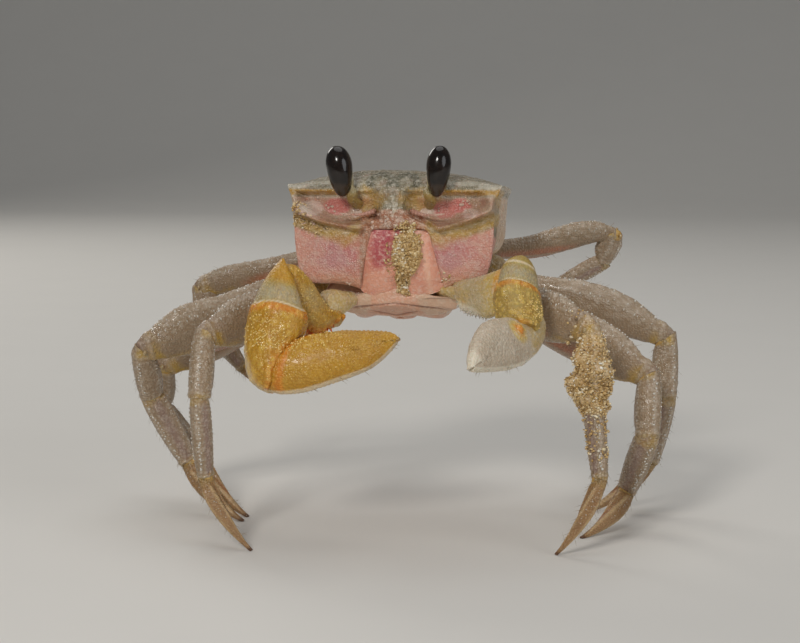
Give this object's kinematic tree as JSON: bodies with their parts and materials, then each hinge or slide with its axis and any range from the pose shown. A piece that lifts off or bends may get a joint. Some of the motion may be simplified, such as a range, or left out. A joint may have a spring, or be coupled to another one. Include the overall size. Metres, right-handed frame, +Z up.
{
  "type": "ghost crab",
  "caption": "Life-size still model of a ghost crab standing on its toes, with raised eyes, one large folded claw and one small claw.",
  "frame": {"origin": "on the floor, under the middle of the whole crab's bounding box", "axes": "+Z up; the crab faces -Y; +X is towards its own left, across the span of its legs"},
  "size_m": [0.108, 0.0786, 0.0748],
  "materials": {
    "shell_grey_green": "fine-grained satin, damp",
    "sternum_shell": "smooth satin, damp",
    "mouth_plate": "granular satin, damp",
    "leg_shell": "finely ridged satin, damp",
    "toe_horn": "grooved satin horn",
    "claw_gold": "beaded satin, damp",
    "claw_pale": "beaded satin, damp",
    "eye_cornea": "polished",
    "eyestalk_shell": "smooth satin"
  },
  "bodies": {
    "root": {"abdomen": "sternum_shell", "carapace": "shell_grey_green", "left_antenna": "eyestalk_shell", "left_claw_arm": "claw_gold", "left_claw_finger": "claw_pale", "left_claw_foot": "claw_pale", "left_claw_hand": "claw_pale", "left_claw_wrist": "claw_gold", "left_eye": "eye_cornea", "left_eyestalk": "eyestalk_shell", "left_leg_2_knee": "leg_shell", "left_leg_2_shank": "leg_shell", "left_leg_2_thigh": "leg_shell", "left_leg_2_toe": "toe_horn", "left_leg_3_knee": "leg_shell", "left_leg_3_shank": "leg_shell", "left_leg_3_thigh": "leg_shell", "left_leg_3_toe": "toe_horn", "left_leg_4_knee": "leg_shell", "left_leg_4_shank": "leg_shell", "left_leg_4_thigh": "leg_shell", "left_leg_4_toe": "toe_horn", "left_leg_5_knee": "leg_shell", "left_leg_5_shank": "leg_shell", "left_leg_5_thigh": "leg_shell", "left_leg_5_toe": "toe_horn", "left_mouth_plate": "mouth_plate", "right_antenna": "eyestalk_shell", "right_claw_arm": "claw_gold", "right_claw_finger": "claw_gold", "right_claw_foot": "claw_pale", "right_claw_hand": "claw_gold", "right_claw_wrist": "claw_gold", "right_eye": "eye_cornea", "right_eyestalk": "eyestalk_shell", "right_leg_2_knee": "leg_shell", "right_leg_2_shank": "leg_shell", "right_leg_2_thigh": "leg_shell", "right_leg_2_toe": "toe_horn", "right_leg_3_knee": "leg_shell", "right_leg_3_shank": "leg_shell", "right_leg_3_thigh": "leg_shell", "right_leg_3_toe": "toe_horn", "right_leg_4_knee": "leg_shell", "right_leg_4_shank": "leg_shell", "right_leg_4_thigh": "leg_shell", "right_leg_4_toe": "toe_horn", "right_leg_5_knee": "leg_shell", "right_leg_5_shank": "leg_shell", "right_leg_5_thigh": "leg_shell", "right_leg_5_toe": "toe_horn", "right_mouth_plate": "mouth_plate", "sternum": "sternum_shell"}
  },
  "joints": []
}
